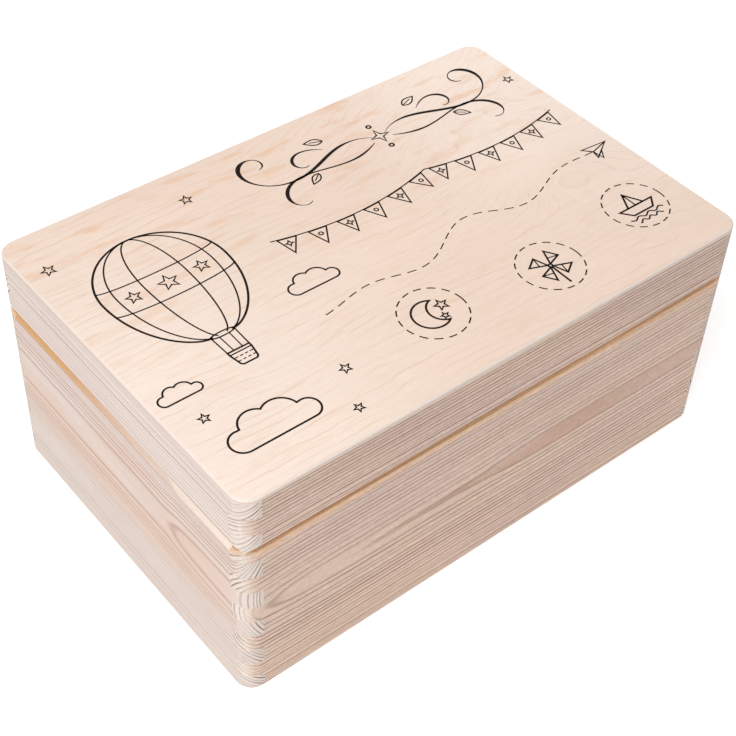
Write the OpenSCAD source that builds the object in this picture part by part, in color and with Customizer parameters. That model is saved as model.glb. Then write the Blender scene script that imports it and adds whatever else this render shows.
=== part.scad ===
// Keepsake box: finger-jointed pine boards, a plywood top and bottom, and two butt hinges.
// The origin is the middle of the underside, +X runs to the right and +Y to the back.

/* [Box] */
// Outside length, left to right
box_l = 300; // [240:1:400]
// Outside width, front to back
box_w = 198; // [150:1:280]
// Height of the base, from the table to its upper edge
base_h = 99; // [70:0.1:160]
// Height of the lid's frame, without the panel that lies on it
lid_frame_h = 31; // [24:0.1:60]
// Gap between the base and the shut lid
parting_gap = 0.2; // [0.1:0.05:0.4]
// Radius of the four upright corners
corner_r = 9; // [6:0.1:12]

/* [Boards] */
// Thickness of the pine boards
board_t = 10; // [8.5:0.1:14]
// Depth of the V-groove that runs round the box between base and lid
groove_depth = 2.5; // [1.8:0.1:3.5]
// Height of the V-groove's half on the base, and of its half on the lid
groove_half_h = 3; // [1.5:0.1:4]
// Radius of the sanded edge round the underside
foot_edge_r = 0.8; // [0.4:0.1:2]

/* [Finger joints] */
// Height of a whole finger
finger_h = 10.4; // [7:0.1:16]
// Height of the finger at the foot of the base, and at the top of the lid's frame
end_finger_h = 9.3; // [6:0.1:16]
// Least height of the finger next to the V-groove
least_finger_h = 4; // [3:0.1:6]

/* [Panels] */
// Thickness of the panel on the lid
lid_panel_t = 2.8; // [2:0.1:6]
// Radius of the rounded edge round the panel's top
panel_edge_r = 1.2; // [0.5:0.1:1.8]
// Thickness of the bottom panel
bottom_t = 3; // [2:0.1:5]
// Height of the bottom panel's underside above the table
bottom_lift = 5; // [3:0.1:12]
// Depth of the housing in the boards that holds the bottom panel
housing_depth = 4; // [2:0.1:6]
// Clearance over, under and round the bottom panel in its housing
housing_gap = 0.1; // [0.05:0.05:0.3]

/* [Hinges] */
// Length of each hinge, along the back edge
hinge_l = 25; // [20:1:40]
// Distance from the box's end to the middle of the nearer hinge
hinge_end = 55; // [35:1:80]
// Distance of the pin's axis inside the back face
pin_inset = 1.7; // [1.6:0.1:2.4]
// Number of knuckles on each hinge
knuckle_n = 5; // [3:2:7]
// Outside radius of the knuckles
knuckle_r = 1.6; // [1.4:0.1:2]
// Gap between one knuckle and the next
knuckle_gap = 0.2; // [0.1:0.05:0.4]
// Radius of the pin
pin_r = 0.8; // [0.6:0.05:1]
// Running clearance all round the pin in its knuckles
pin_gap = 0.05; // [0.02:0.01:0.08]
// Radius of the peened heads on the pin's ends
pin_head_r = 1.2; // [1:0.1:1.4]
// Thickness of the pin's heads
pin_head_t = 0.4; // [0.2:0.1:0.8]
// Thickness of the leaves
leaf_t = 1; // [0.7:0.1:1.5]
// Wood between the leaf's edge and the inside of the box
leaf_margin = 1; // [0.5:0.1:2]
// Clearance between the leaf's edges and its recess in the board
recess_gap = 0.1; // [0.05:0.05:0.3]
// Clearance between the knuckles and the wood round them
knuckle_clear = 0.3; // [0.2:0.05:0.5]

/* [Screws] */
// Distance between the two screws of a leaf
screw_pitch = 14; // [10:1:24]
// Radius of the screw's shank
shank_r = 1; // [0.8:0.05:1.2]
// Radius of the countersunk head
screw_head_r = 1.9; // [1.5:0.1:2.2]
// Length of the whole screw
screw_l = 9; // [6:0.5:14]
// Length of the screw's point
screw_point_l = 2; // [1:0.1:3]
// Clearance all round the screw, in the leaf and in the wood
screw_gap = 0.05; // [0.02:0.01:0.1]
// Width of the cross cut in the head
cross_w = 0.4; // [0.3:0.05:0.6]
// Depth of the cross cut in the head
cross_depth = 0.5; // [0.3:0.05:0.8]

/* [Hidden] */

$fn = 96;
long_pine = [0.77, 0.67, 0.60];
end_pine = [0.90, 0.85, 0.81];
top_ply = [0.97, 0.90, 0.84];
bottom_ply = [0.86, 0.74, 0.60];
brass_plate = [0.80, 0.65, 0.35];
bare_steel = [0.72, 0.70, 0.66];

// How far a cut runs past the face that it leaves through
past = 1;

lid_z = base_h + parting_gap;
panel_z = lid_z + lid_frame_h;
inner_l = box_l - 2*board_t;
inner_w = box_w - 2*board_t;
flat_l = box_l - 2*corner_r;
flat_w = box_w - 2*corner_r;

// The hinges share one axis, halfway up the parting gap
pin_y = box_w/2 - pin_inset;
pin_z = base_h + parting_gap/2;
hinge_x = box_l/2 - hinge_end;
leaf_w = board_t - pin_inset - leaf_margin;
knuckle_pitch = (hinge_l + knuckle_gap)/knuckle_n;
knuckle_l = knuckle_pitch - knuckle_gap;
barrel_room_r = knuckle_r + knuckle_clear;
neck_w = knuckle_r + knuckle_gap;
screw_y = (barrel_room_r + leaf_w)/2;
screw_head_h = screw_head_r - shank_r;

// Fingers are counted from the foot of the base, and from the top of the lid's frame
function joints_up(h) = 1 + floor((h - end_finger_h - least_finger_h)/finger_h);
function finger_from(k) = k == 0 ? -past : end_finger_h + (k - 1)*finger_h;
function finger_to(k, h) = k == joints_up(h) ? h + past : end_finger_h + k*finger_h;

// Half of a block's cross-section, from its middle out: upright, with a rounded upper edge
module half_section(w, h, edge_r) {
    square([w, h - edge_r]);
    square([w - edge_r, h]);
    translate([w - edge_r, h - edge_r]) circle(edge_r);
}

// The whole outline as one block: upright corners rounded, and a softer edge round the top
module soft_block(h, edge_r) {
    rotate([90, 0, 90]) linear_extrude(flat_l, center = true) {
        half_section(box_w/2, h, edge_r);
        mirror([1, 0]) half_section(box_w/2, h, edge_r);
    }
    for (end = [0, 1]) mirror([end, 0, 0]) {
        translate([flat_l/2, 0, 0]) rotate([90, 0, 0]) linear_extrude(flat_w, center = true)
            half_section(corner_r, h, edge_r);
        for (side = [0, 1]) mirror([0, side, 0])
            translate([flat_l/2, flat_w/2, 0]) rotate_extrude(angle = 90)
                half_section(corner_r, h, edge_r);
    }
}

module plain_block(h) {
    linear_extrude(h) {
        square([flat_l, box_w], center = true);
        square([box_l, flat_w], center = true);
        for (x = [-1, 1], y = [-1, 1]) translate([x*flat_l/2, y*flat_w/2]) circle(corner_r);
    }
}

// Half of the V-groove, cut along all four faces into the edge at height h
module groove_half(h) {
    run = past*groove_half_h/groove_depth;
    rise = past*groove_depth/groove_half_h;
    side = [[-past, -groove_half_h - run], [groove_depth + rise, past], [-past, past]];
    for (end = [0, 1]) mirror([end, 0, 0]) translate([-box_l/2, 0, h])
        rotate([90, 0, 0]) linear_extrude(box_w + 2*past, center = true) polygon(side);
    for (end = [0, 1]) mirror([0, end, 0]) translate([0, -box_w/2, h])
        rotate([90, 0, 90]) linear_extrude(box_l + 2*past, center = true) polygon(side);
}

// The fingers in the four corners: first is 0 for the end boards' own, 1 for the long boards'
module corner_fingers(h, first) {
    for (k = [first:2:joints_up(h)], end = [0, 1], side = [0, 1])
        mirror([end, 0, 0]) mirror([0, side, 0])
            translate([inner_l/2, inner_w/2, finger_from(k)])
                cube([board_t + past, board_t + past, finger_to(k, h) - finger_from(k)]);
}

// Room for one hinge in the edges that meet at the parting gap
module hinge_room() {
    leaf_room_l = hinge_l + 2*recess_gap;
    barrel_room_l = hinge_l + 2*(pin_head_t + knuckle_clear);
    translate([-leaf_room_l/2, -leaf_w - recess_gap, -leaf_t - parting_gap/2])
        cube([leaf_room_l, leaf_w + recess_gap + pin_inset + past, 2*leaf_t + parting_gap]);
    rotate([0, 90, 0]) cylinder(r = barrel_room_r, h = barrel_room_l, center = true);
    for (x = [-1, 1]) translate([x*screw_pitch/2, -screw_y, 0])
        cylinder(r = shank_r + screw_gap, h = 2*(screw_l + parting_gap), center = true);
}

module hinge_rooms() {
    for (x = [-1, 1]) translate([x*hinge_x, pin_y, pin_z]) hinge_room();
}

// Housing for the bottom panel, stopped inside the corners
module bottom_housing() {
    housing_l = inner_l + 2*housing_depth;
    housing_w = inner_w + 2*housing_depth;
    translate([-housing_l/2, -housing_w/2, bottom_lift - housing_gap])
        cube([housing_l, housing_w, bottom_t + 2*housing_gap]);
}

// Front board of a frame of height h, whose outline is the child, standing on its end finger
module front_board(h) {
    difference() {
        intersection() {
            children();
            translate([-box_l/2 - past, -box_w/2 - past, -past])
                cube([box_l + 2*past, board_t + past, h + 2*past]);
        }
        corner_fingers(h, 0);
        groove_half(h);
    }
}

// Left board of the same frame
module left_board(h) {
    difference() {
        intersection() {
            children();
            translate([-box_l/2 - past, -box_w/2 - past, -past])
                cube([board_t + past, box_w + 2*past, h + 2*past]);
        }
        corner_fingers(h, 1);
        groove_half(h);
    }
}

// The base's outline, with the sanded edge round its foot
module base_block() {
    translate([0, 0, base_h]) mirror([0, 0, 1]) soft_block(base_h, foot_edge_r);
}

module base_front() {
    difference() {
        front_board(base_h) base_block();
        bottom_housing();
    }
}

module base_left() {
    difference() {
        left_board(base_h) base_block();
        bottom_housing();
    }
}

// The lid's boards are made head down, and turned over on to the parting gap
module on_lid() {
    translate([0, 0, panel_z]) mirror([0, 0, 1]) children();
}

module base_front_board() {
    color(long_pine) base_front();
}

module base_back_board() {
    color(long_pine) difference() {
        mirror([0, 1, 0]) base_front();
        hinge_rooms();
    }
}

module base_left_board() {
    color(end_pine) base_left();
}

module base_right_board() {
    color(end_pine) mirror([1, 0, 0]) base_left();
}

module lid_front_board() {
    color(long_pine) on_lid() front_board(lid_frame_h) plain_block(lid_frame_h);
}

module lid_back_board() {
    color(long_pine) difference() {
        mirror([0, 1, 0]) on_lid() front_board(lid_frame_h) plain_block(lid_frame_h);
        hinge_rooms();
    }
}

module lid_left_board() {
    color(end_pine) on_lid() left_board(lid_frame_h) plain_block(lid_frame_h);
}

module lid_right_board() {
    color(end_pine) mirror([1, 0, 0]) on_lid() left_board(lid_frame_h) plain_block(lid_frame_h);
}

module lid_panel() {
    color(top_ply) translate([0, 0, panel_z]) soft_block(lid_panel_t, panel_edge_r);
}

module bottom_panel() {
    panel_l = inner_l + 2*(housing_depth - housing_gap);
    panel_w = inner_w + 2*(housing_depth - housing_gap);
    color(bottom_ply) translate([-panel_l/2, -panel_w/2, bottom_lift])
        cube([panel_l, panel_w, bottom_t]);
}

// Knuckles number first, first + 2 and so on, each with what the leaf wraps round the pin
module knuckles(first) {
    for (k = [first:2:knuckle_n - 1]) translate([k*knuckle_pitch - hinge_l/2, 0, 0]) {
        rotate([0, 90, 0]) cylinder(r = knuckle_r, h = knuckle_l);
        translate([0, -neck_w - past, -leaf_t - parting_gap/2])
            cube([knuckle_l, neck_w + past, leaf_t]);
    }
}

// One screw, head up, with its head's top at the origin
module screw() {
    body_l = screw_l - screw_point_l;
    difference() {
        union() {
            translate([0, 0, -screw_head_h])
                cylinder(r1 = shank_r, r2 = screw_head_r, h = screw_head_h);
            translate([0, 0, -body_l]) cylinder(r = shank_r, h = body_l);
            translate([0, 0, -screw_l]) cylinder(r1 = 0, r2 = shank_r, h = screw_point_l);
        }
        for (turn = [0, 90]) rotate([0, 0, turn])
            translate([-shank_r, -cross_w/2, -cross_depth])
                cube([2*shank_r, cross_w, cross_depth + past]);
    }
}

// Lower leaf of a hinge, about the pin's axis, with the knuckles numbered from first
module leaf(first) {
    difference() {
        union() {
            translate([-hinge_l/2, -leaf_w, -leaf_t - parting_gap/2])
                cube([hinge_l, leaf_w - neck_w, leaf_t]);
            knuckles(first);
        }
        rotate([0, 90, 0]) cylinder(r = pin_r + pin_gap, h = hinge_l + 2*past, center = true);
        for (x = [-1, 1]) translate([x*screw_pitch/2, -screw_y, -parting_gap/2 - screw_head_h])
            cylinder(
                r1 = shank_r + screw_gap, r2 = screw_head_r + screw_gap, h = screw_head_h);
        for (x = [-1, 1]) translate([x*screw_pitch/2, -screw_y, 0])
            cylinder(r = shank_r + screw_gap, h = 2*(leaf_t + parting_gap), center = true);
    }
}

module leaf_screws() {
    for (x = [-1, 1]) translate([x*screw_pitch/2, -screw_y, -parting_gap/2]) screw();
}

// The pin, along X, with a peened head just outside the last knuckle at either end
module pin() {
    pin_l = hinge_l + 2*pin_gap;
    rotate([0, 90, 0]) {
        cylinder(r = pin_r, h = pin_l, center = true);
        for (end = [0, 1]) mirror([0, 0, end]) translate([0, 0, pin_l/2])
            cylinder(r1 = pin_head_r, r2 = pin_r, h = pin_head_t);
    }
}

// Puts a hinge's piece on the pin's axis at the left end, or at the right end
module at_hinge(side) {
    translate([side*hinge_x, pin_y, pin_z]) children();
}

module left_hinge_base_leaf() {
    color(brass_plate) at_hinge(-1) leaf(0);
}

module left_hinge_lid_leaf() {
    color(brass_plate) at_hinge(-1) mirror([0, 0, 1]) leaf(1);
}

module left_hinge_pin() {
    color(bare_steel) at_hinge(-1) pin();
}

module left_hinge_base_screws() {
    color(brass_plate) at_hinge(-1) leaf_screws();
}

module left_hinge_lid_screws() {
    color(brass_plate) at_hinge(-1) mirror([0, 0, 1]) leaf_screws();
}

module right_hinge_base_leaf() {
    color(brass_plate) at_hinge(1) leaf(0);
}

module right_hinge_lid_leaf() {
    color(brass_plate) at_hinge(1) mirror([0, 0, 1]) leaf(1);
}

module right_hinge_pin() {
    color(bare_steel) at_hinge(1) pin();
}

module right_hinge_base_screws() {
    color(brass_plate) at_hinge(1) leaf_screws();
}

module right_hinge_lid_screws() {
    color(brass_plate) at_hinge(1) mirror([0, 0, 1]) leaf_screws();
}

lid_panel();
lid_front_board();
lid_back_board();
lid_left_board();
lid_right_board();
base_front_board();
base_back_board();
base_left_board();
base_right_board();
bottom_panel();
left_hinge_base_leaf();
left_hinge_lid_leaf();
left_hinge_pin();
left_hinge_base_screws();
left_hinge_lid_screws();
right_hinge_base_leaf();
right_hinge_lid_leaf();
right_hinge_pin();
right_hinge_base_screws();
right_hinge_lid_screws();
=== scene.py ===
"""Finishes of a keepsake box: sanded pine boards, a printed plywood top and brass-plated hinges."""

import math
from functools import partial

import bpy
import numpy as np
from mathutils import Matrix, Vector


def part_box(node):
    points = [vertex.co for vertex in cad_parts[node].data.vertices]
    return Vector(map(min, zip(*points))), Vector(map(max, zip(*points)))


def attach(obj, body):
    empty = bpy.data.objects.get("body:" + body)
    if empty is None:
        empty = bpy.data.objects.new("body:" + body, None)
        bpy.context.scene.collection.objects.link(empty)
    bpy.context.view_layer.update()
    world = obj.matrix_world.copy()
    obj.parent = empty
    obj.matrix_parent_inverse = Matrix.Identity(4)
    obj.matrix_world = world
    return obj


bl_info = {
    "name": "Keepsake Box Finishes",
    "version": (1, 0, 0),
    "blender": (4, 5, 0),
    "location": "3D View > Sidebar > Keepsake Box",
    "description": "Pine, plywood, print and hinge finishes on the construction of a keepsake box",
    "category": "Add Mesh",
}

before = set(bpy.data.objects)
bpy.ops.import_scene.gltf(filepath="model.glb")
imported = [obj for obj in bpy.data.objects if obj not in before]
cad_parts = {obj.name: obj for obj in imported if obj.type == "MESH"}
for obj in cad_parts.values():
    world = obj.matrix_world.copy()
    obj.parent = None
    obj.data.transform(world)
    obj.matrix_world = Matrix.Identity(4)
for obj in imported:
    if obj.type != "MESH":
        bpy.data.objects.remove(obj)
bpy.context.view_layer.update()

MM = 0.001
TO_MM = 1 / MM

# The construction's own sizes, read from the frame, in metres
PANEL_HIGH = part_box("lid_panel")[1]
HALF_LENGTH = PANEL_HIGH.x
HALF_WIDTH = PANEL_HIGH.y
HEIGHT = PANEL_HIGH.z

# The radius of the box's upright edges, in metres
CORNER = 9 * MM

# Ink soaks in a little and stands up a little, in mm
INK_LOW = HEIGHT * TO_MM - 0.02
INK_HIGH = HEIGHT * TO_MM + 0.02


def linear(hex_colour):
    """Turns an sRGB hex colour into the linear RGB that Blender stores."""
    parts = np.array([int(hex_colour[i:i + 2], 16) for i in (1, 3, 5)]) / 255
    return tuple(np.where(parts <= 0.04045, parts / 12.92, ((parts + 0.055) / 1.055) ** 2.4))


def colour_property(name, description, hex_colour):
    """A colour that a user can change, given as an sRGB hex value."""
    return bpy.props.FloatVectorProperty(
        name=name, description=description, subtype="COLOR", size=3, min=0, max=1,
        default=linear(hex_colour))


def add_node(tree, kind, inputs=(), output=0, stops=(), **settings):
    """Adds one node, and gives one of its outputs, or all of them where output is None.

    kind is the node's kind and, after a space, its operation where it has one. inputs are values
    or sockets, in the node's own order or by name; stops are a ramp's, each (position, value);
    settings are the node's attributes.
    """
    kind, _, operation = kind.partition(" ")
    made = tree.nodes.new(kind if kind.startswith("NodeGroup") else "ShaderNode" + kind)
    if operation:
        made.operation = operation
    for name, value in settings.items():
        setattr(made, name, value)
    for key, value in inputs.items() if isinstance(inputs, dict) else enumerate(inputs):
        socket = made.inputs[key]
        if isinstance(value, bpy.types.NodeSocket):
            tree.links.new(value, socket)
        else:
            socket.default_value = (*value, 1) if socket.type == "RGBA" else value
    for index, (position, value) in enumerate(stops):
        elements = made.color_ramp.elements
        element = elements[index] if index < 2 else elements.new(position)
        element.position = position
        element.color = (value, value, value, 1)
    return made.outputs if output is None else made.outputs[output]


# A Mix node's inputs where it blends colours: its factor and its two colours
FACTOR, FIRST, SECOND = 0, 6, 7

# The settings of a Mix node that blends colours, and of a Map Range with soft ends
BLEND = {"output": 2, "data_type": "RGBA"}
SMOOTH = {"interpolation_type": "SMOOTHSTEP"}


def new_material(name):
    """An empty node material, and add_node for its tree."""
    material = bpy.data.materials.new(name)
    material.use_nodes = True
    material.node_tree.nodes.clear()
    return material, partial(add_node, material.node_tree)


def new_group(name, inputs, outputs):
    """A new node group, and add_node for it; inputs are {title: default}, outputs are titles.

    A socket is a vector where its default is a triple, or its title is Colour.
    """
    tree = bpy.data.node_groups.new(name, "ShaderNodeTree")
    for title, default in inputs.items():
        kind = "NodeSocketVector" if isinstance(default, tuple) else "NodeSocketFloat"
        tree.interface.new_socket(
            name=title, in_out="INPUT", socket_type=kind).default_value = default
    for title in outputs:
        kind = "NodeSocketVector" if title == "Colour" else "NodeSocketFloat"
        tree.interface.new_socket(name=title, in_out="OUTPUT", socket_type=kind)
    return tree, partial(add_node, tree)


# ---- settings


class KeepsakePine(bpy.types.PropertyGroup):
    """Colours of the pine boards: front and back ones are long, left and right ones short."""
    long_early: colour_property("Long boards", "Pale wood of the long boards", "#E3C9B6")
    long_heart: colour_property("Long boards' heart", "Wood nearest their pith", "#D1AD98")
    long_cool: colour_property("Long boards' patches", "Cooler patches in their wood", "#DFC5B9")
    long_late: colour_property("Long boards' lines", "Ring lines of the long boards", "#7E4A20")
    long_end: colour_property("Long boards' ends", "End grain of the long boards", "#EEDFD4")
    long_end_late: colour_property("Long ends' lines", "Ring lines in that end grain", "#927361")
    # Warm tone of the long boards' groove: painted light bounced within the groove
    long_groove: colour_property("Long groove", "V-groove along the long boards", "#E3C2A6")
    # Painted shade deep in the long boards' groove, under the lid's lip
    long_scorch: colour_property("Long scorch", "Browned wood deep in that groove", "#CC9E74")
    short_early: colour_property("Short boards", "Pale wood of the short boards", "#E4D8CF")
    short_heart: colour_property("Short boards' heart", "Wood nearest their pith", "#E1C9BA")
    short_cool: colour_property("Short boards' patches", "Cooler patches in their wood", "#E4D5CE")
    short_late: colour_property("Short boards' lines", "Ring lines of the short boards", "#9C5F3C")
    short_end: colour_property("Short boards' ends", "End grain of the short boards", "#E5D6CD")
    short_end_late: colour_property("Short ends' lines", "Ring lines in that end grain", "#725C50")
    # Orange of the short boards' groove: painted light bounced within the groove
    short_groove: colour_property("Short groove", "V-groove along the short boards", "#DAAF7E")
    # Painted shade deep in the short boards' groove; here the same as its groove tone, so none
    # shows
    short_scorch: colour_property("Short scorch", "Wood deep in that groove", "#DAAF7E")
    right_end: colour_property("Right board's ends", "End grain of the right board", "#DCC8BB")
    right_end_late: colour_property("Right ends' lines", "Ring lines in that end grain", "#5F4B48")
    # Groove colour where its painted bounce light and shade fade out, towards the left board's
    # front end
    clean: colour_property("Clean groove", "Groove that the cutter has left pale", "#E8D8CC")


class KeepsakeTop(bpy.types.PropertyGroup):
    """Sizes and colours of the plywood panels."""
    line_gap: bpy.props.FloatProperty(
        name="Line gap", description="Distance between growth lines in the face veneer",
        default=4.7 * MM, min=2 * MM, max=15 * MM, unit="LENGTH")
    # Painted light: the veneer's pale tone where the key lamp's light pools at the near left and a
    # sheen is painted at the back right
    veneer: colour_property("Pale veneer", "Face veneer at the near left and back right", "#F3E0D2")
    # The veneer's own colour, which looks warmer in between the two corners of painted light
    warm: colour_property("Warm veneer", "Face veneer in between, nearer the heart", "#ECD4C3")
    figure: colour_property("Figure", "Growth lines in the face veneer", "#D7B599")
    streak: colour_property("Streaks", "Warm mineral streaks in the face veneer", "#E6BC9B")
    edge: colour_property("Ply edge", "Outer plies, seen on the panel's edge", "#E9DAD0")
    core: colour_property("Ply core", "Middle ply, seen on the panel's edge", "#D9C4B6")
    ink: colour_property("Ink", "Brown-black printing ink", "#1D1411")


class KeepsakeMetal(bpy.types.PropertyGroup):
    """Colours of the hinges."""
    plate: colour_property("Brass plating", "Bright plating on leaves and screws", "#DDC08A")
    plate_dull: colour_property("Dull plating", "Plating that has tarnished a little", "#AE935F")
    steel: colour_property("Steel", "Bare steel of the pins", "#C2BFB8")
    steel_dull: colour_property("Dull steel", "Steel with a film of oil and dust", "#8E8A82")


class KeepsakeStage(bpy.types.PropertyGroup):
    """Camera, lamps and floor."""
    lens: bpy.props.FloatProperty(
        name="Lens", description="Focal length on a 36 mm sensor, in mm", default=73.67, min=20,
        unit="CAMERA")
    key_power: bpy.props.FloatProperty(
        name="Key lamp", description="Power of the soft lamp at the upper left",
        default=8.6, min=0, unit="POWER")
    back_power: bpy.props.FloatProperty(
        name="Back lamp", description="Power of the soft lamp behind the box",
        default=0.7, min=0, unit="POWER")
    sky: bpy.props.FloatProperty(
        name="Sky", description="Strength of the even light from all round", default=0.6, min=0)


class KeepsakeSettings(bpy.types.PropertyGroup):
    """All settings of the keepsake box."""
    pine: bpy.props.PointerProperty(type=KeepsakePine)
    top: bpy.props.PointerProperty(type=KeepsakeTop)
    metal: bpy.props.PointerProperty(type=KeepsakeMetal)
    stage: bpy.props.PointerProperty(type=KeepsakeStage)


# ---- wood


def stretched_noise():
    """Node group of smooth noise about 0.5, of which Stretch waves fit in a unit on each axis."""
    name = "Stretched noise"
    if name in bpy.data.node_groups:
        return bpy.data.node_groups[name]
    tree, add = new_group(name, {
        "Point": (0, 0, 0), "Stretch": (1, 1, 1), "Seed": 0, "Detail": 2, "Roughness": 0.5},
        ("Value", "Colour"))
    given = add("NodeGroupInput", output=None)
    stretched = add("VectorMath MULTIPLY", (given["Point"], given["Stretch"]))
    made = add("TexNoise", {
        "Vector": stretched, "W": given["Seed"], "Scale": 1, "Detail": given["Detail"],
        "Roughness": given["Roughness"]}, None, noise_dimensions="4D")
    add("NodeGroupOutput", (made["Fac"], made["Color"]), None)
    return tree


def annual_rings(noise):
    """Node group of a log's annual rings, cut by any surface that passes through them.

    The point is in a board's own millimetres: X along the grain, Y in from the outer face, Z up.
    A ring's number grows with the distance from the pith, by one for each inner gap as far as the
    turn radius, for each middle gap as far as the slow radius, and for each outer gap beyond it.
    The pith lies along X. Where a board lets it drift in depth, the rings on a flat-sawn face
    run together in long pointed arches.
    """
    tree, add = new_group("Annual rings", {
        "Point": (0, 0, 0), "Pith depth": 40, "Pith height": 60, "Inner gap": 2.4,
        "Turn radius": 30, "Middle gap": 2.4, "Slow radius": 40, "Outer gap": 2.4,
        "Phase": 0, "Wander": 1, "Seed": 0},
        ("Late wood", "Fibre", "Patch", "Flatness", "Radius"))
    given = add("NodeGroupInput", output=None)
    point, seed, sway = given["Point"], given["Seed"], given["Wander"]
    noisy = {"Point": point, "Seed": seed}

    # The pith wanders over the length of a board, by up to 0.5 mm in depth and 3 mm in height
    wander = add("Group", {**noisy, "Stretch": (0.011, 0.004, 0.004), "Detail": 1,
                           "Roughness": 0.4}, "Colour", node_tree=noise)
    wander = add("VectorMath MULTIPLY_ADD", (wander, (0, 1, 6), (0, -0.5, -3)))
    wander = add("VectorMath SCALE", {0: wander, "Scale": sway})
    along = add("SeparateXYZ", (point,), "X")
    pith = add("CombineXYZ", (along, given["Pith depth"], given["Pith height"]))
    from_pith = add("VectorMath SUBTRACT", (point, pith))
    from_pith = add("VectorMath ADD", (from_pith, wander))
    radius = add("VectorMath LENGTH", (from_pith,), "Value")
    height = add("Math ABSOLUTE", (add("SeparateXYZ", (from_pith,), "Z"),))
    flatness = add("Math DIVIDE", (height, radius))

    # A ring waves by up to 0.8 mm, in waves longer along the grain than across it, and its
    # fibres, drawn ten times as coarse as they are, wave it more finely
    waves = add("Group", {**noisy, "Stretch": (0.03, 0.12, 0.12)}, node_tree=noise)
    waves = add("Math MULTIPLY_ADD", (waves, 1.6, -0.8))
    radius = add("Math MULTIPLY_ADD", (waves, sway, radius))
    fibre = add("Group", {**noisy, "Stretch": (0.10, 2.6, 2.6), "Detail": 3, "Roughness": 0.7},
                node_tree=noise)
    radius = add("Math MULTIPLY_ADD", (fibre, sway, radius))

    # Years of three widths one after another, the last without an end, and each a little uneven
    count, turn, slow, endless = given["Phase"], given["Turn radius"], given["Slow radius"], 1000
    for start, end, gap in (
            (0, turn, "Inner gap"), (turn, slow, "Middle gap"), (slow, endless, "Outer gap")):
        years = radius
        for step, value in (("MAXIMUM", start), ("MINIMUM", end), ("SUBTRACT", start),
                            ("DIVIDE", given[gap])):
            years = add(f"Math {step}", (years, value))
        count = add("Math ADD", (count, years))
    uneven = add("TexNoise", {"W": add("Math ADD", (count, seed)), "Scale": 0.5, "Detail": 1},
                 noise_dimensions="1D")
    count = add("Math MULTIPLY_ADD", (uneven, 0.8, count))

    # Early wood darkens slowly into a thin line of late wood, which ends sharply. Some years'
    # lines are stronger than others, and all are broken here and there
    line = add("ValToRGB", (add("Math FRACT", (count,)),), stops=(
        (0.0, 0.30), (0.06, 0.0), (0.45, 0.02), (0.68, 0.17), (0.81, 0.9), (0.91, 1.0),
        (1.0, 0.30)))
    strength = add("TexWhiteNoise", {"W": add("Math FLOOR", (count,))}, noise_dimensions="1D")
    strength = add("MapRange", (strength, 0, 1, 0.63, 1.32))
    broken = add("Group", {**noisy, "Stretch": (0.03, 0.5, 0.5)}, node_tree=noise)
    broken = add("MapRange", (broken, 0.3, 0.6, 0.75, 1))
    late = add("Math MULTIPLY", (strength, broken))
    late = add("Math MULTIPLY", (line, late))

    patch = add("Group", {**noisy, "Stretch": (0.012, 0.06, 0.06)}, node_tree=noise)
    add("NodeGroupOutput", (late, fibre, patch, flatness, radius), None)
    return tree


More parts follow.
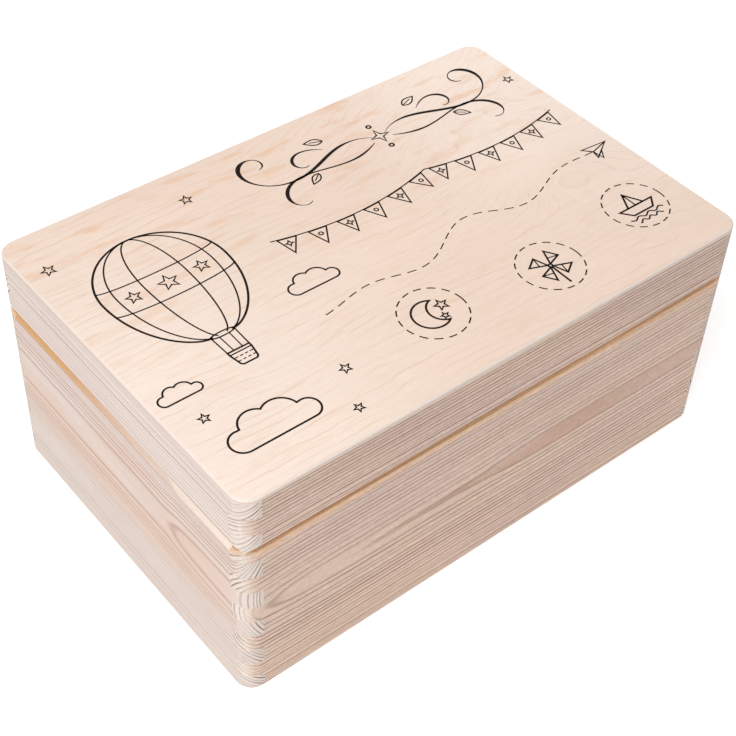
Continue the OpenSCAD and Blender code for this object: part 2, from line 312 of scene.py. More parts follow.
def pine_material(name, rings, noise, board):
    """Sanded, unvarnished pine from one log, shared by the two boards that were sawn apart.

    Dull and dry, with thin late-wood lines that stay after sanding and flecks of cut cells. board
    holds: tones, its colours by name; turn, the board's heading; outside, its outer face's
    distance from the middle; half, half its length; log, the inputs of the annual rings; drift,
    (place along the board in mm, how far the pith has moved in depth in mm); slope, how far the
    pith rises over each mm; end_from, how squarely the grain is cut where end grain starts;
    scorch, the places along the board where the groove's painted colours start and are
    full: its warm tone is painted light bounced within the groove, and its deep part painted
    shade; lift, how much lighter the board is at its top than at its foot; heart, the distances
    from the pith over which the heart's tone ends; fleck, the strength of the flecks; bold,
    (height in mm, strength of the ring lines there).
    """
    tones, log, drift = board["tones"], board["log"], board["drift"]
    material, add = new_material(name)
    where = add("TexCoord", output=None)
    point = add("Mapping", {
        "Vector": where["Object"], "Location": (0, board["outside"] * TO_MM, 0),
        "Rotation": (0, 0, board["turn"]), "Scale": (TO_MM, TO_MM, TO_MM)})
    along, inward, above = add("SeparateXYZ", (point,), None)
    span = 2 * board["half"] * TO_MM
    tall = HEIGHT * TO_MM

    # The pith's depth follows a smooth course through the given places
    travel = max(abs(step) for _, step in drift)
    share = add("Math MULTIPLY_ADD", (along, 1 / span, 0.5))
    course = add("ValToRGB", (share,), stops=[
        (at / span + 0.5, abs(step) / travel) for at, step in drift])
    course.node.color_ramp.interpolation = "CARDINAL"
    signed = travel if drift[-1][1] > 0 else -travel
    depth = add("Math MULTIPLY_ADD", (course, signed, log["Pith depth"]))
    rise = add("Math MULTIPLY_ADD", (along, board["slope"], log["Pith height"]))
    wood = add("Group", {**log, "Point": point, "Pith depth": depth, "Pith height": rise}, None,
               node_tree=rings)

    # How squarely the surface cuts across the grain, and how level it lies, both 0 to 1: end
    # grain is full 0.45 after it starts, and the groove's two slopes are halfway to level
    grain = (math.cos(board["turn"]), -math.sin(board["turn"]), 0)
    across = add("VectorMath DOT_PRODUCT", (where["Normal"], grain), "Value")
    across = add("Math ABSOLUTE", (across,))
    end_from = board["end_from"]
    end_grain = add("MapRange", (across, end_from, end_from + 0.45, 0, 1), **SMOOTH)
    level = add("Math ABSOLUTE", (add("SeparateXYZ", (where["Normal"],), "Z"),))
    groove = add("ValToRGB", (level,), stops=((0.35, 0), (0.5, 1), (0.72, 1), (0.85, 0)))

    # A ring line that the face only grazes is broad and soft, one on a rounded corner is faint,
    # and on the face each height has its own strength
    soft = add("MapRange", (wood["Flatness"], 0.04, 0.8, 0.5, 1))
    rounding = add("ValToRGB", (across,), stops=((0.1, 1), (0.45, 0.45), (0.8, 0.55), (0.98, 1)))
    share = add("Math DIVIDE", (above, tall))
    bold = add("ValToRGB", (share,), stops=[
        (height / tall, strength) for height, strength in board["bold"]])
    line = wood["Late wood"]
    for strength in (add("Math MAXIMUM", (soft, end_grain)), rounding,
                     add("Math MAXIMUM", (end_grain, bold))):
        line = add("Math MULTIPLY", (line, strength))

    # Wood nearest the pith has its own tone, and cooler patches run along the grain
    near = add("MapRange", (wood["Radius"], *board["heart"], 0, 1), **SMOOTH)
    pale = add("Mix", {FACTOR: near, FIRST: tones["heart"], SECOND: tones["early"]}, **BLEND)
    cooler = add("Group", {"Point": point, "Stretch": (0.009, 0.035, 0.035), "Seed": 2.2},
                 node_tree=noise)
    cooler = add("MapRange", (cooler, 0.4, 0.6, 0, 0.8))
    pale = add("Mix", {FACTOR: cooler, FIRST: pale, SECOND: tones["cool"]}, **BLEND)
    face = add("Mix", {FACTOR: line, FIRST: pale, SECOND: tones["late"]}, **BLEND)
    end = add("Mix", {FACTOR: line, FIRST: tones["end"], SECOND: tones["end_late"]}, **BLEND)
    cut = add("Mix", {FACTOR: end_grain, FIRST: face, SECOND: end}, **BLEND)

    # Depth in from the outer faces, which meet in a rounded corner: the groove is painted darker,
    # as shade under the lid's lip, from 1 mm in, fully from 1.5 mm, and shows a third of the ring
    # lines
    shallow, deep = 1.0, 1.5
    corner = CORNER * TO_MM
    from_middle = add("Math ABSOLUTE", (along,))
    from_end = add("Math SUBTRACT", (span / 2 - corner, from_middle))
    from_face = add("Math SUBTRACT", (inward, corner))
    inside = add("CombineXYZ", (from_end, from_face))
    inside = add("VectorMath MINIMUM", (inside, (0, 0, 0)))
    inside = add("VectorMath LENGTH", (inside,), "Value")
    groove_shade_mask = add("MapRange", (inside, corner - shallow, corner - deep, 0, 1), **SMOOTH)
    # The groove's warm tone is painted light bounced within it; between the given places along the
    # board it fades in from the pale groove colour, which only the left board shows, at its front
    # end
    fade = add("MapRange", (along, *board["scorch"], 0, 1), **SMOOTH)
    faint = add("Math MULTIPLY", (line, 0.35))
    brown = add("Mix", {FACTOR: groove_shade_mask, FIRST: tones["groove"], SECOND: tones["scorch"]}, **BLEND)
    brown = add("Mix", {FACTOR: fade, FIRST: tones["clean"], SECOND: brown}, **BLEND)
    brown = add("Mix", {FACTOR: faint, FIRST: brown, SECOND: tones["late"]}, **BLEND)
    cut = add("Mix", {FACTOR: groove, FIRST: cut, SECOND: brown}, **BLEND)

    # Broad patches, the board's lift, the fibres, and cut cells: short flecks, drawn twice as
    # coarse as they are. Fibres and flecks darken more than they lighten
    tone = add("MapRange", (wood["Patch"], 0.3, 0.7, 0.955, 1.035))
    lift, fleck = board["lift"] / 2, board["fleck"]
    lift = add("MapRange", (above, 0, tall, 1 - lift, 1 + lift))
    grit = add("MapRange", (wood["Fibre"], 0.3, 0.7, 1 - 1.35 * fleck, 1 + 0.7 * fleck))
    cells = add("Group", {"Point": point, "Stretch": (0.45, 1.4, 1.4), "Seed": 9.4,
                          "Roughness": 0.7}, node_tree=noise)
    cells = add("MapRange", (cells, 0.3, 0.7, 1 - fleck, 1 + 0.8 * fleck))
    for shade in (lift, grit, cells):
        tone = add("Math MULTIPLY", (tone, shade))
    colour = add("VectorMath SCALE", {0: cut, "Scale": tone})
    # The hard late wood stands up half as much as the fibres do
    relief = add("Math MULTIPLY_ADD", (wood["Late wood"], 0.5, wood["Fibre"]))
    bump = add("Bump", {"Strength": 0.3, "Distance": 0.015 * MM, "Height": relief})
    shader = add("BsdfPrincipled", {
        "Base Color": colour, "Roughness": 0.65, "IOR": 1.45, "Normal": bump})
    add("OutputMaterial", (shader,), None)
    return material


def plywood_material(name, panel, noise, top):
    """Sanded plywood: a rotary-cut birch veneer, smooth and dull, and plies at the edge.

    The veneer has fine waving growth lines. One is where the height across the grain, bent by
    slow and quick noise, passes a multiple of the line gap. Towards the back right the lines
    climb. At the right they run into closed rings round a hill, whose height is exp(-d^2) of
    its peak at a distance of d reaches from its middle.
    """
    low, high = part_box(panel)
    material, add = new_material(name)
    where = add("TexCoord", output=None)
    point = add("Mapping", {"Vector": where["Object"], "Scale": (TO_MM, TO_MM, TO_MM)})
    across, behind, above = add("SeparateXYZ", (point,), None)

    # The field whose contours are the growth lines, in mm: they climb by up to 0.42 mm in each
    # mm to the right, and slow and quick waves swing them by up to 11 and 2 mm to each side
    climb = add("Math MULTIPLY", (add("MapRange", (behind, 5, 70, 0, 1), **SMOOTH),
                                  add("MapRange", (across, -60, 60, 0, -0.42), **SMOOTH)))
    field = add("Math MULTIPLY_ADD", (across, climb, behind))
    for stretch, seed, swing in (((0.011, 0.03, 0.03), 4.2, 11), ((0.05, 0.10, 0.10), 1.7, 2)):
        wave = add("Group", {"Point": point, "Stretch": stretch, "Seed": seed}, node_tree=noise)
        wave = add("Math MULTIPLY_ADD", (wave, 2 * swing, -swing))
        field = add("Math ADD", (field, wave))

    # The hill's middle, its height there and its reach along X and Y, in mm
    middle, peak, reach = (108, -16, 0), -30, (36, 17)
    away = add("VectorMath SUBTRACT", (point, middle))
    away = add("VectorMath MULTIPLY", (away, (1 / reach[0], 1 / reach[1], 0)))
    away = add("VectorMath DOT_PRODUCT", (away, away), "Value")
    hill = add("Math MULTIPLY", (away, -1))
    hill = add("Math EXPONENT", (hill,))
    field = add("Math MULTIPLY_ADD", (hill, peak, field))

    # Thin lines, broken here and there and weaker towards the right
    part = add("Math DIVIDE", (field, top.line_gap * TO_MM))
    part = add("Math FRACT", (part,))
    line = add("ValToRGB", (part,), stops=(
        (0.0, 0.25), (0.03, 0), (0.70, 0), (0.90, 0.18), (0.96, 1), (1.0, 0.25)))
    broken = add("Group", {"Point": point, "Stretch": (0.03, 0.25, 0.25), "Seed": 8.8},
                 node_tree=noise)
    broken = add("MapRange", (broken, 0.40, 0.62, 0.06, 0.8))
    leftward = add("MapRange", (across, -150, 150, 1, 0.55))
    for strength in (broken, leftward):
        line = add("Math MULTIPLY", (line, strength))

    # Painted light: paler towards two corners, a pool of the key lamp's light at the near left and
    # a
    # painted sheen at the back right: the place there, and how far around it the wood is wholly
    # pale and a little pale, in mm
    spot = add("CombineXYZ", (across, field))
    pale = 0
    for place, near, far in (((-165, -40, 0), 45, 175), ((150, 50, 0), 30, 140)):
        distance = add("VectorMath DISTANCE", (spot, place), "Value")
        patch = add("MapRange", (distance, near, far, 1, 0), **SMOOTH)
        pale = add("Math MAXIMUM", (pale, patch))
    streak = add("Group", {"Point": point, "Stretch": (0.03, 0.15, 0.15), "Seed": 2.9,
                           "Detail": 3, "Roughness": 0.6}, node_tree=noise)
    streak = add("MapRange", (streak, 0.50, 0.68, 0, 0.75), **SMOOTH)
    backward = add("MapRange", (behind, -20, 90, 0.25, 1))
    streak = add("Math MULTIPLY", (streak, backward))
    face = top.warm
    for share, tone in ((pale, top.veneer), (line, top.figure), (streak, top.streak)):
        face = add("Mix", {FACTOR: share, FIRST: face, SECOND: tone}, **BLEND)

    # The plies show where the panel's rounded edge cuts through them
    through = add("MapRange", (above, low.z * TO_MM, high.z * TO_MM, 0, 1))
    ply = add("ValToRGB", (through,), stops=(
        (0.0, 0.7), (0.28, 0.5), (0.32, 1), (0.55, 0.9), (0.62, 0)))
    edge = add("Mix", {FACTOR: ply, FIRST: top.edge, SECOND: top.core}, **BLEND)
    level = add("Math ABSOLUTE", (add("SeparateXYZ", (where["Normal"],), "Z"),))
    at_edge = add("MapRange", (level, 0.97, 0.80, 0, 1), **SMOOTH)
    face = add("Mix", {FACTOR: at_edge, FIRST: face, SECOND: edge}, **BLEND)

    # Broad patches, and a fine grit that runs along the growth lines
    tone = add("Group", {"Point": point, "Stretch": (0.014, 0.02, 0.02), "Seed": 6.1},
               node_tree=noise)
    tone = add("MapRange", (tone, 0.3, 0.7, 0.975, 1.02))
    bent = add("CombineXYZ", (across, field, above))
    grit = add("Group", {"Point": bent, "Stretch": (0.16, 1.5, 1.5), "Seed": 5.5, "Detail": 3,
                         "Roughness": 0.7}, node_tree=noise)
    grit = add("MapRange", (grit, 0.3, 0.7, 0.94, 1.035))
    tone = add("Math MULTIPLY", (tone, grit))
    colour = add("VectorMath SCALE", {0: face, "Scale": tone})
    shader = add("BsdfPrincipled", {"Base Color": colour, "Roughness": 0.6, "IOR": 1.45})
    add("OutputMaterial", (shader,), None)
    return material


def set_material(node, material):
    """Gives a construction node its finish."""
    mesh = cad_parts[node].data
    mesh.materials.clear()
    mesh.materials.append(material)


class KEEPSAKE_OT_boards(bpy.types.Operator):
    """Dress the eight pine boards, each pair of one side as sawn from one board"""
    bl_idname = "keepsake.boards"
    bl_label = "Pine boards"

    def execute(self, context):
        pine = context.scene.keepsake.pine
        noise = stretched_noise()
        rings = annual_rings(noise)
        long_tones, short_tones = ({**{tone: getattr(pine, f"{length}_{tone}") for tone in (
            "early", "heart", "cool", "late", "end", "end_late", "groove", "scorch")},
            "clean": pine.clean} for length in ("long", "short"))
        right_tones = {**short_tones, "end": pine.right_end, "end_late": pine.right_end_late}
        # What like boards share; most grooves have their full colour from before a board's end
        everywhere = {"scorch": (-400, -300), "lift": 0}
        long = {**everywhere, "tones": long_tones, "outside": HALF_WIDTH, "half": HALF_LENGTH,
                "end_from": 0.4}
        short = {**everywhere, "tones": short_tones, "outside": HALF_LENGTH, "half": HALF_WIDTH,
                 "end_from": 0.08}
        boards = {
            "front": {
                **long, "turn": 0,
                "log": {"Pith depth": -17.5, "Pith height": 56, "Inner gap": 1.8,
                        "Turn radius": 19, "Middle gap": 2.35, "Slow radius": 48,
                        "Outer gap": 2.1, "Wander": 0.35, "Seed": 3.1},
                "drift": ((-150, 0), (-141, 0.4), (-120, 1.7), (-78, 2.2), (-60, 2.3),
                          (-10, 2.56), (22, 3.6), (148, 3.5)),
                "slope": -0.0135, "lift": -0.10, "heart": (14.8, 15.6), "fleck": 0.14,
                "bold": ((0, 0.88), (58, 0.88), (67, 0.65), (92, 0.65), (103, 0.95))},
            "back": {
                **long, "turn": math.pi,
                "log": {"Pith depth": 34, "Pith height": 82, "Inner gap": 2.2,
                        "Middle gap": 2.2, "Outer gap": 2.2, "Wander": 0.5, "Seed": 11.7},
                "drift": ((-150, 0), (-60, 2), (60, 2.5), (150, 6)),
                "slope": 0.01, "heart": (48, 60), "fleck": 0.09, "bold": ((0, 0.9), (133, 0.9))},
            "left": {
                **short, "turn": math.pi / 2,
                "log": {"Pith depth": 50, "Pith height": 66, "Inner gap": 1.8,
                        "Turn radius": 50.47, "Middle gap": 1.0, "Slow radius": 58,
                        "Outer gap": 1.8, "Phase": -0.15, "Wander": 0.12, "Seed": 6.3},
                "drift": ((-99, 0), (38, 0), (49, -0.5), (62, -0.76), (99, -0.93)),
                "slope": 0, "scorch": (45, -60), "lift": 0.01, "heart": (52, 66), "fleck": 0.04,
                "bold": ((15, 0.4), (42, 0.55), (55, 1.0), (94, 1.1), (103, 0.6))},
            "right": {
                **short, "tones": right_tones, "turn": -math.pi / 2,
                "log": {"Pith depth": -24, "Pith height": 44, "Inner gap": 1.8,
                        "Middle gap": 1.8, "Outer gap": 1.8, "Wander": 0.4, "Seed": 8.9},
                "drift": ((-99, 0), (0, 1), (99, 4)),
                "slope": 0.01, "heart": (30, 42), "fleck": 0.05, "bold": ((0, 0.8), (133, 0.8))},
        }
        for side, board in boards.items():
            material = pine_material(f"Sanded pine {side}", rings, noise, board)
            set_material(f"base_{side}_board", material)
            set_material(f"lid_{side}_board", material)
        return {"FINISHED"}


class KEEPSAKE_OT_panels(bpy.types.Operator):
    """Dress the plywood top and bottom"""
    bl_idname = "keepsake.panels"
    bl_label = "Plywood panels"

    def execute(self, context):
        for panel in ("lid_panel", "bottom_panel"):
            set_material(panel, plywood_material(
                f"Sanded birch plywood {panel}", panel, stretched_noise(),
                context.scene.keepsake.top))
        return {"FINISHED"}


# ---- hinges


def metal_material(name, noise, bright, dull, roughness, grain, dulling):
    """Metal with fine marks along one direction and dull patches where it has been handled.

    grain holds how many marks fit in a millimetre along X, Y and Z: the sheet was rolled, or the
    wire drawn, along the axis with the fewest. dulling is how much of the dull tone shows.
    """
    material, add = new_material(name)
    where = add("TexCoord", output="Object")
    point = add("Mapping", {"Vector": where, "Scale": (TO_MM, TO_MM, TO_MM)})
    marks = add("Group", {"Point": point, "Stretch": grain, "Seed": 3.3, "Roughness": 0.6},
                node_tree=noise)
    patch = add("Group", {"Point": point, "Stretch": (0.35, 0.35, 0.35), "Seed": 7.7,
                          "Detail": 3, "Roughness": 0.6}, node_tree=noise)
    patch = add("MapRange", (patch, 0.35, 0.75, 0, dulling), **SMOOTH)
    colour = add("Mix", {FACTOR: patch, FIRST: bright, SECOND: dull}, **BLEND)
    # Dull places are rougher, and the marks swing the roughness to each side
    swing = 0.06
    gloss = add("Math MULTIPLY_ADD", (patch, 0.25, roughness - swing))
    gloss = add("Math MULTIPLY_ADD", (marks, 2 * swing, gloss))
    bump = add("Bump", {"Strength": 0.25, "Distance": 0.02 * MM, "Height": marks})
    shader = add("BsdfPrincipled", {
        "Base Color": colour, "Metallic": 1.0, "Roughness": gloss, "Normal": bump})
    add("OutputMaterial", (shader,), None)
    return material


class KEEPSAKE_OT_hinges(bpy.types.Operator):
    """Dress the two butt hinges, their pins and their screws"""
    bl_idname = "keepsake.hinges"
    bl_label = "Hinges"

    def execute(self, context):
        metal = context.scene.keepsake.metal
        noise = stretched_noise()
        # Thin bright plating over rolled sheet: yellow, with soft streaks along the hinge
        plate = metal_material("Brass-plated rolled steel", noise, metal.plate,
                               metal.plate_dull, 0.28, (0.5, 9, 9), 0.5)
        # The same plating on turned screws, duller from the driver and the dip
        screw = metal_material("Brass-plated turned steel", noise, metal.plate,
                               metal.plate_dull, 0.34, (5, 5, 5), 0.8)
        # Drawn wire without plating: grey, with marks along the pin
        wire = metal_material("Bare drawn steel", noise, metal.steel, metal.steel_dull, 0.36,
                              (0.6, 8, 8), 0.6)
        for side in ("left", "right"):
            set_material(f"{side}_hinge_pin", wire)
            for half in ("base", "lid"):
                set_material(f"{side}_hinge_{half}_leaf", plate)
                set_material(f"{side}_hinge_{half}_screws", screw)
        return {"FINISHED"}


# ---- print


def arc(x, y, radius, start=0, end=360, count=48, squash=1):
    """Points on an arc about (x, y), angles in degrees; squash flattens it in height."""
    angle = np.radians(np.linspace(start, end, count))
    return np.stack([x + radius * np.cos(angle), y + squash * radius * np.sin(angle)], 1)


def closed(points):
    """The same outline with its first point again at the end."""
    return np.vstack([points, points[:1]])


def turned(points, angle, x=0, y=0):
    """points turned by angle in degrees and moved to (x, y)."""
    turn = math.radians(angle)
    spin = np.array([[math.cos(turn), math.sin(turn)], [-math.sin(turn), math.cos(turn)]])
    return np.asarray(points, float) @ spin + (x, y)


def cut_dashes(line, dash=5.0, gap=3.3):
    """A line cut into dashes of 8 points, spread so that whole dashes start and end it."""
    step = np.hypot(*np.diff(line, axis=0).T)
    run = np.concatenate([[0], np.cumsum(step)])
    count = max(1, round((run[-1] + gap) / (dash + gap)))
    stretch = run[-1] / (count * (dash + gap) - gap)
    for start in np.arange(count) * (dash + gap) * stretch:
        along = np.linspace(start, start + dash * stretch, 8)
        yield np.stack([np.interp(along, run, line[:, axis]) for axis in (0, 1)], 1)


def moved(strokes, x, y):
    """The same strokes, each (line, width), moved by (x, y)."""
    return [(np.asarray(line, float) + (x, y), width) for line, width in strokes]


# How much wider than its drawing a stroke of ink dries on bare wood, in mm
BLEED = 0.14

# The least that a corner's reach is divided by, so that a sharp one has no spike: the divisor is
# 1 + the cosine of the line's turn
BLUNT = 0.35


def ribbon(line, width):
    """Corners and faces of one stroke of ink: a flat closed band along a line on the panel.

    width is the stroke's full width in mm, one value or one for each point. Each point has its
    left and right corners on the joint of its two neighbours' edges. A line whose ends meet
    becomes a ring, and an open one has end faces.
    """
    line = np.asarray(line, float)
    half = np.broadcast_to((np.asarray(width) + BLEED) / 2, len(line))
    ring = np.allclose(line[0], line[-1])
    if ring:
        line, half = line[:-1], half[:-1]
    count = len(line)
    ahead = np.roll(line, -1, 0) - line
    ahead /= np.maximum(np.linalg.norm(ahead, axis=1, keepdims=True), 1e-9)
    left = np.stack([-ahead[:, 1], ahead[:, 0]], 1)
    if not ring:
        left[-1] = left[-2]
    left_behind = np.roll(left, 1, 0)
    if not ring:
        left_behind[0] = left[0]
    facing = np.sum(left * left_behind, 1, keepdims=True)
    joint = (left + left_behind) / np.maximum(1 + facing, BLUNT) * half[:, None]
    corners = np.stack([
        np.hstack([line + hand * joint, np.full((count, 1), level)]) for hand, level in (
            (1, INK_HIGH), (1, INK_LOW), (-1, INK_LOW), (-1, INK_HIGH))], 1)
    here = np.arange(count if ring else count - 1)[:, None]
    there = (here + 1) % count
    side = np.arange(4)[None, :]
    after = (side + 1) % 4
    faces = np.stack([4 * here + side, 4 * here + after, 4 * there + after, 4 * there + side], -1)
    faces = faces.reshape(-1, 4)
    if not ring:
        last = 4 * (count - 1)
        faces = np.vstack([faces, [3, 2, 1, 0], [last, last + 1, last + 2, last + 3]])
    return corners.reshape(-1, 3), faces


def ink_piece(name, strokes, material):
    """One printed motif from its strokes, each (line in mm, width in mm), riding the lid."""
    corners, faces, count = [], [], 0
    for line, width in strokes:
        points, quads = ribbon(line, width)
        corners.append(points * MM)
        faces.append(quads + count)
        count += len(points)
    mesh = bpy.data.meshes.new(name)
    mesh.from_pydata(np.vstack(corners).tolist(), [], np.vstack(faces).tolist())
    mesh.materials.append(material)
    if mesh.validate():
        raise RuntimeError(f"{name} has faces that Blender can't use")
    piece = bpy.data.objects.new(name, mesh)
    bpy.context.scene.collection.objects.link(piece)
    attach(piece, "lid")


def star(x, y, size, points=5, waist=0.42, tilt=0):
    """The outline of a star with that many points; waist is its inner corners' share of size."""
    angle = np.radians(90 + tilt + np.arange(2 * points) * 180 / points)
    reach = np.where(np.arange(2 * points) % 2 == 0, size, waist * size)
    return closed(np.stack([x + reach * np.cos(angle), y + reach * np.sin(angle)], 1))


def cloud(x, y, size):
    """The outline of a cloud of that half width: four round puffs on a flat foot.

    Each ray from the middle ends where it leaves the last puff, or at the foot, which it never
    stops short of between the outer puffs.
    """
    # Each puff's middle and radius, and the foot's level, as shares of the size
    puffs = ((-0.72, -0.02, 0.28), (-0.26, 0.20, 0.36), (0.24, 0.13, 0.40), (0.73, -0.05, 0.25))
    foot = -0.3
    angle = np.radians(np.arange(0, 360, 1.5))
    ray = np.stack([np.cos(angle), np.sin(angle)], 1)
    reach = np.zeros(len(ray))
    for across, up, radius in puffs:
        toward = ray @ (across, up)
        inside = radius ** 2 - across ** 2 - up ** 2 + toward ** 2
        reach = np.maximum(reach, np.where(inside > 0, toward + np.sqrt(np.abs(inside)), 0))
    down = ray[:, 1] < 0
    to_foot = foot / np.where(down, ray[:, 1], -1)
    under = down & (np.abs(to_foot * ray[:, 0]) < puffs[-1][0])
    reach = np.where(under, to_foot, np.where(down, np.minimum(reach, to_foot), reach))
    return closed(size * ray * reach[:, None] + (x, y))


def balloon():
    """A hot-air balloon 66 mm wide: envelope, gores, a band of stars, ropes and a wicker basket.

    The envelope is half a circle above and, below, narrows to the mouth as a power of a sine.
    """
    reach, drop, mouth = 33, 46, 6.5
    turn = np.linspace(0, np.pi, 61)
    upper = turn < np.pi / 2
    across = np.where(upper, reach * np.sin(turn),
                      mouth + (reach - mouth) * np.abs(np.sin(turn)) ** 1.25)
    along = np.where(upper, reach, drop) * np.cos(turn)
    half = np.stack([across, along], 1)
    strokes = [(np.vstack([half[::-1] * (-1, 1), half[1:]]), 1.0)]
    strokes += [(half * (share, 1), 0.65) for share in (-0.78, -0.34, 0.34, 0.78)]
    sweep = np.linspace(-1, 1, 41)
    for level, bulge in ((9, 3.2), (-9, 4.0)):
        wide = np.interp(-level, -along, across)
        sag = bulge * np.sqrt(1 - 0.98 * sweep ** 2)
        strokes.append((np.stack([wide * sweep, level - sag], 1), 0.65))
    for place, size in ((-18.5, 4.0), (0, 5.2), (18.5, 4.0)):
        sag = 3.6 * math.sqrt(1 - (place / reach) ** 2)
        strokes.append((star(place, 0.3 - sag, size), 0.65))
    strokes.append((arc(0, -drop, mouth, count=33, squash=0.22), 0.7))

    # Four ropes, and a basket that narrows from its banded rim to its foot
    top, base, band = 5.8, 4.6, 1.8
    rim = -drop - 12
    foot = rim - 9.5
    for side in (-1, 1):
        strokes.append(([(side * mouth * 0.95, -drop - 0.4), (side * top, rim)], 0.6))
        strokes.append(([(side * mouth * 0.4, -drop - 1.2), (side * top * 0.4, rim)], 0.5))
    strokes.append((closed(np.array([
        (-top, rim), (top, rim), (top, rim - band), (base, foot + 1), (base - 1, foot),
        (1 - base, foot), (-base, foot + 1), (-top, rim - band)])), 0.85))
    strokes.append(([(-top, rim - band), (top, rim - band)], 0.65))
    for row in (4.3, 6.8):
        weave = np.array([(-base - 0.2, rim - row), (base + 0.2, rim - row)])
        strokes += [(dash, 0.5) for dash in cut_dashes(weave, 1.6, 0.9)]
    return strokes


def scroll(start, heading, bends, length, heavy):
    """A pen stroke that starts at a point with a heading in degrees.

    bends are the curvatures, in degrees per mm, that it passes through in even steps. A slanted
    nib draws it 0.6 mm wide along its slant and heavy mm wider across it. Over the first and the
    last fifth of its length the stroke tapers.
    """
    slant, taper, tip = math.radians(35), 1 / 5, 0.15
    run = np.linspace(0, 1, 121)
    step = length / (len(run) - 1)
    bend = np.interp(run, np.linspace(0, 1, len(bends)), bends)
    turn = np.concatenate([[0], np.cumsum((bend[1:] + bend[:-1]) / 2)]) * step
    angle = np.radians(heading + turn)
    line = np.stack([np.cos(angle), np.sin(angle)], 1) * step
    line = np.vstack([[0, 0], np.cumsum((line[1:] + line[:-1]) / 2, 0)]) + start
    width = 0.6 + heavy * np.sin(angle - slant) ** 2
    return line, width * np.minimum(1, np.minimum(run, 1 - run) / taper + tip)


def leaf(x, y, length, tilt):
    """A leaf: two edges that bow by a quarter of its length and meet in a point, and a midrib."""
    share = np.linspace(0, 1, 17)
    bow = 0.24 * length * np.sin(np.pi * share ** 0.8)
    edge = np.stack([length * share, bow], 1)
    outline = np.vstack([edge, (edge * (1, -1))[-2::-1]])
    rib = np.array([(0, 0), (0.7 * length, 0)])
    return [(turned(outline, tilt, x, y), 0.7), (turned(rib, tilt, x, y), 0.5)]


def flourish():
    """A pen flourish, mirrored about its middle: long scrolls, curls and small leaves."""
    right = [
        scroll((3, -1), 42, (-3.0, -1.9, 0.4, 2.2, 3.2, 6.5, 15), 118, 1.7),
        scroll((6, -4), -28, (1.2, 1.7, 0.2, -2.4, -5, -13), 84, 1.3),
        scroll((31, 7), 38, (-1, -4.5, -9, -16), 34, 1.0),
        *leaf(27, 13, 10, 20), *leaf(45, -7.5, 9, -38)]
    strokes = [(line * (side, 1), width) for side in (-1, 1) for line, width in right]
    strokes.append((star(0, -1, 5.6, 4, 0.32), 0.75))
    return strokes + [(arc(0, up, 1.2, count=17), 0.9) for up in (8.5, -10.5)]


def bunting(left, right, height, sag, flags):
    """A string that sags between two points, with a row of pennants hung from it."""
    share = np.linspace(0, 1, 81)
    string = np.linspace((left, height), (right, height), 81)
    string[:, 1] -= 4 * sag * share * (1 - share)
    strokes = [(string, 0.6)]
    for index, place in enumerate((np.arange(flags) + 0.5) / flags):
        hang = np.array([np.interp(place, share, string[:, axis]) for axis in (0, 1)])
        lean = math.degrees(math.atan2(-4 * sag * (1 - 2 * place), right - left))
        pennant = closed(np.array([(-4.9, -0.3), (4.9, -0.3), (0, -11.5)]))
        strokes.append((turned(pennant, lean, *hang), 0.7))
        badge = arc(0, -4, 1.1, count=13) if index % 2 else star(0, -4.1, 2.1, 4, 0.4)
        strokes.append((turned(badge, lean, *hang), 0.6))
    return strokes


def plane_trail(start, end, swing, loops):
    """A paper plane at the end of a dashed trail that swings up and down on its way."""
    share = np.linspace(0, 1, 241)
    trail = np.linspace(start, end, 241)
    trail[:, 1] += swing * np.sin(2 * np.pi * loops * share) * np.sin(np.pi * share)
    strokes = [(dash, 0.5) for dash in cut_dashes(trail[:-6])]
    wings = closed(np.array([(8, 1), (-7, 5.6), (-3.8, 0.4), (-6, -4.2)]))
    fold = np.array([(8, 1), (-3.8, 0.4)])
    keel = np.array([(-3.8, 0.4), (-4.4, -6.4), (0.6, -1.6)])
    return strokes + [(turned(line, 12, *end), width) for line, width in (
        (wings, 0.85), (fold, 0.6), (keel, 0.7))]


def medallion(x, y, motif):
    """A dashed ring with a small motif in it."""
    ring = cut_dashes(arc(0, 0, 17, count=181), 4.2, 2.8)
    return moved([*((dash, 0.6) for dash in ring), *motif], x, y)


def moon():
    """A crescent between two arcs that share their tips, with two stars."""
    outer = arc(-1.5, 0, 9.2, 55, 305, 41)
    tip = outer[0]
    # The inner arc's middle lies beyond the tips, 0.55 as far as that of an arc of radius 8.4
    beyond = 0.55 * math.sqrt(8.4 ** 2 - tip[1] ** 2)
    start = -math.degrees(math.atan2(tip[1], -beyond))
    inner = arc(tip[0] + beyond, 0, math.hypot(beyond, tip[1]), start, -360 - start, 31)
    return [(closed(np.vstack([outer, inner[1:-1]])), 0.95), (star(6.6, 2.2, 3.6), 0.75),
            (star(3.4, -4.4, 2.2), 0.65)]


def pinwheel():
    """Four folded blades on a stick."""
    strokes = [([(0, -1.5), (0, -14.2)], 1.0), (arc(0, 0, 1.1, count=17), 0.8)]
    blade = closed(np.array([(0.4, 1.2), (0.4, 10.6), (6.4, 6.4)]))
    fold = np.array([(0.4, 5.4), (6.4, 6.4)])
    for angle in range(-22, 338, 90):
        strokes += [(turned(blade, angle), 0.85), (turned(fold, angle), 0.55)]
    return strokes


def boat():
    """A folded paper boat on two lines of waves."""
    hull = closed(np.array([(-11, 0), (-5.2, 0), (0, 0), (5.2, 0), (11, 0), (6.6, -5.6),
                            (-6.6, -5.6)]))
    sail = closed(np.array([(-5.2, 0), (0, 9.6), (5.2, 0)]))
    strokes = [(hull, 0.95), (sail, 0.95), ([(0, 9.6), (0, 0)], 0.7)]
    run = np.linspace(-11, 11, 49)
    for level, shift, share in ((-8.0, 0, 1), (-10.8, 1.6, 0.72)):
        wave = level + 0.8 * np.sin((run + shift) * 0.9)
        strokes.append((np.stack([run * share, wave], 1), 0.7))
    return strokes


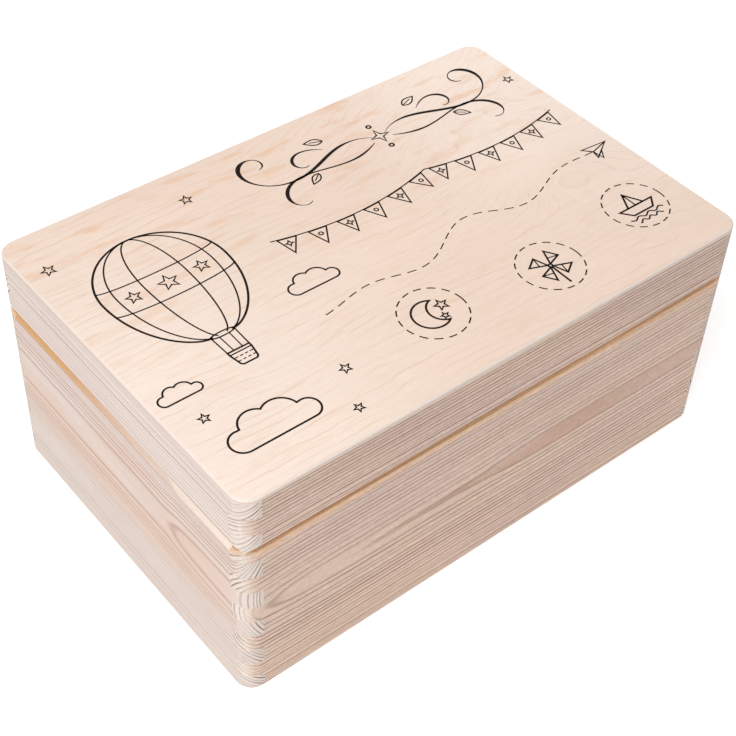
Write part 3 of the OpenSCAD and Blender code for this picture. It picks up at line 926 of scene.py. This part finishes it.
class KEEPSAKE_OT_print(bpy.types.Operator):
    """Print the line drawings on the top: a balloon, clouds, a flourish, bunting and medallions"""
    bl_idname = "keepsake.print_motifs"
    bl_label = "Print"

    def execute(self, context):
        # Pigment ink that has soaked into the veneer: even, nearly black and without gloss
        ink, add = new_material("Printed brown-black ink")
        shader = add("BsdfPrincipled", {
            "Base Color": context.scene.keepsake.top.ink, "Roughness": 0.8,
            "Specular IOR Level": 0.1})
        add("OutputMaterial", (shader,), None)
        sky = [(cloud(-112, -70, 23), 0.9), (cloud(-44, -8, 14), 0.8), (cloud(-134, -32, 11), 0.8)]
        # Stars among the clouds: place, size and tilt
        for x, y, size, tilt in ((-138, 70, 3.6, 10), (-58, 76, 3.2, -12), (-68, -62, 3.0, 8),
                                 (-134, -50, 2.8, -8), (-78, -84, 2.6, 14), (141, 60, 3.0, 6)):
            sky.append((star(x, y, size, tilt=tilt), 0.65))
        medallions = (medallion(-14, -58, moon()) + medallion(52, -66, pinwheel())
                      + medallion(118, -58, boat()))
        for name, strokes in (
            ("print_balloon", moved(balloon(), -98, 34)),
            ("print_sky", sky),
            ("print_flourish", moved(flourish(), 52, 62)),
            ("print_bunting", bunting(-44, 52, 26, 7, 6) + bunting(52, 140, 26, 6, 6)),
            ("print_plane", plane_trail((-54, -30), (136, -14), 7, 2.5)),
            ("print_medallions", medallions),
        ):
            ink_piece(name, strokes, ink)
        return {"FINISHED"}


# ---- stage


class KEEPSAKE_OT_stage(bpy.types.Operator):
    """Set up the camera, the two soft lamps, the even light and the white floor"""
    bl_idname = "keepsake.stage"
    bl_label = "Stage"

    def execute(self, context):
        scene = context.scene
        stage = scene.keepsake.stage
        scene.view_settings.view_transform = "Standard"

        # Where the photograph was taken from, in metres, and how far the camera is turned to the
        # right from straight back, tipped down and rolled, in degrees
        position = Vector((-0.3667, -0.4195, 0.5941))
        heading, descent, roll = (math.radians(angle) for angle in (41.08, 44.66, 3.016))
        camera = bpy.data.objects.new("Camera", bpy.data.cameras.new("Camera"))
        camera.data.lens = stage.lens
        camera.data.sensor_width = 36
        camera.data.clip_start = 0.01
        camera.matrix_world = (
            Matrix.Translation(position) @ Matrix.Rotation(-heading, 4, "Z")
            @ Matrix.Rotation(math.pi / 2 - descent, 4, "X") @ Matrix.Rotation(roll, 4, "Z"))
        scene.collection.objects.link(camera)
        scene.camera = camera

        # Round soft lamps that face the box's top: name, power in watts, width and place in metres
        for name, power, width, place in (
            ("Key lamp", stage.key_power, 0.8, Vector((-0.77, -0.42, 1.0))),
            ("Back lamp", stage.back_power, 0.3, Vector((0.45, 0.40, 0.42))),
        ):
            lamp = bpy.data.objects.new(name, bpy.data.lights.new(name, "AREA"))
            lamp.data.energy = power
            lamp.data.shape = "DISK"
            lamp.data.size = width
            facing = (place - Vector((0, 0, HEIGHT))).to_track_quat("Z", "Y")
            lamp.matrix_world = Matrix.LocRotScale(place, facing, None)
            scene.collection.objects.link(lamp)

        # Even light from all round, and plain white where the camera, gloss or glass shows it
        world = bpy.data.worlds.new("Even light")
        world.use_nodes = True
        world.node_tree.nodes.clear()
        add = partial(add_node, world.node_tree)
        rays = add("LightPath", output=None)
        seen = rays["Is Camera Ray"]
        for ray in ("Is Glossy Ray", "Is Transmission Ray"):
            seen = add("Math MAXIMUM", (seen, rays[ray]))
        strength = add("MapRange", (seen, 0, 1, stage.sky, 1))
        light = add("Background", ((1, 1, 1), strength))
        add("OutputWorld", (light,), None)
        scene.world = world

        # A white floor that keeps the box's soft shadow, a hair under the box's foot
        reach, under = 3.0, -0.05 * MM
        mesh = bpy.data.meshes.new("Floor")
        mesh.from_pydata(
            [(-reach, -reach, under), (reach, -reach, under), (reach, reach, under),
             (-reach, reach, under)], [],
            [(0, 1, 2, 3)])
        floor = bpy.data.objects.new("Floor", mesh)
        # Matt paper that keeps a soft shadow; a faint glow for the camera alone makes it white
        material, add = new_material("White paper sweep")
        paper = add("BsdfDiffuse", ((0.92, 0.92, 0.92),))
        glow = add("Emission", ((1, 1, 1), 0.3))
        both = add("AddShader", (paper, glow))
        surface = add("MixShader", (add("LightPath", output="Is Camera Ray"), paper, both))
        add("OutputMaterial", (surface,), None)
        mesh.materials.append(material)
        scene.collection.objects.link(floor)
        return {"FINISHED"}


class KEEPSAKE_PT_panel(bpy.types.Panel):
    """Lists the steps in the 3D view's sidebar"""
    bl_label = "Keepsake Box"
    bl_idname = "KEEPSAKE_PT_panel"
    bl_space_type = "VIEW_3D"
    bl_region_type = "UI"
    bl_category = "Keepsake Box"

    def draw(self, context):
        for operator in OPERATORS:
            self.layout.operator(operator.bl_idname)


OPERATORS = (KEEPSAKE_OT_stage, KEEPSAKE_OT_boards, KEEPSAKE_OT_panels, KEEPSAKE_OT_hinges,
             KEEPSAKE_OT_print)
CLASSES = (KeepsakePine, KeepsakeTop, KeepsakeMetal, KeepsakeStage, KeepsakeSettings, *OPERATORS,
           KEEPSAKE_PT_panel)


def register():
    for cls in CLASSES:
        bpy.utils.register_class(cls)
    bpy.types.Scene.keepsake = bpy.props.PointerProperty(type=KeepsakeSettings)


def unregister():
    del bpy.types.Scene.keepsake
    for cls in reversed(CLASSES):
        bpy.utils.unregister_class(cls)


def main():
    register()
    bpy.ops.keepsake.stage()
    bpy.ops.keepsake.boards()
    bpy.ops.keepsake.panels()
    bpy.ops.keepsake.hinges()
    bpy.ops.keepsake.print_motifs()


if __name__ == "__main__":
    main()
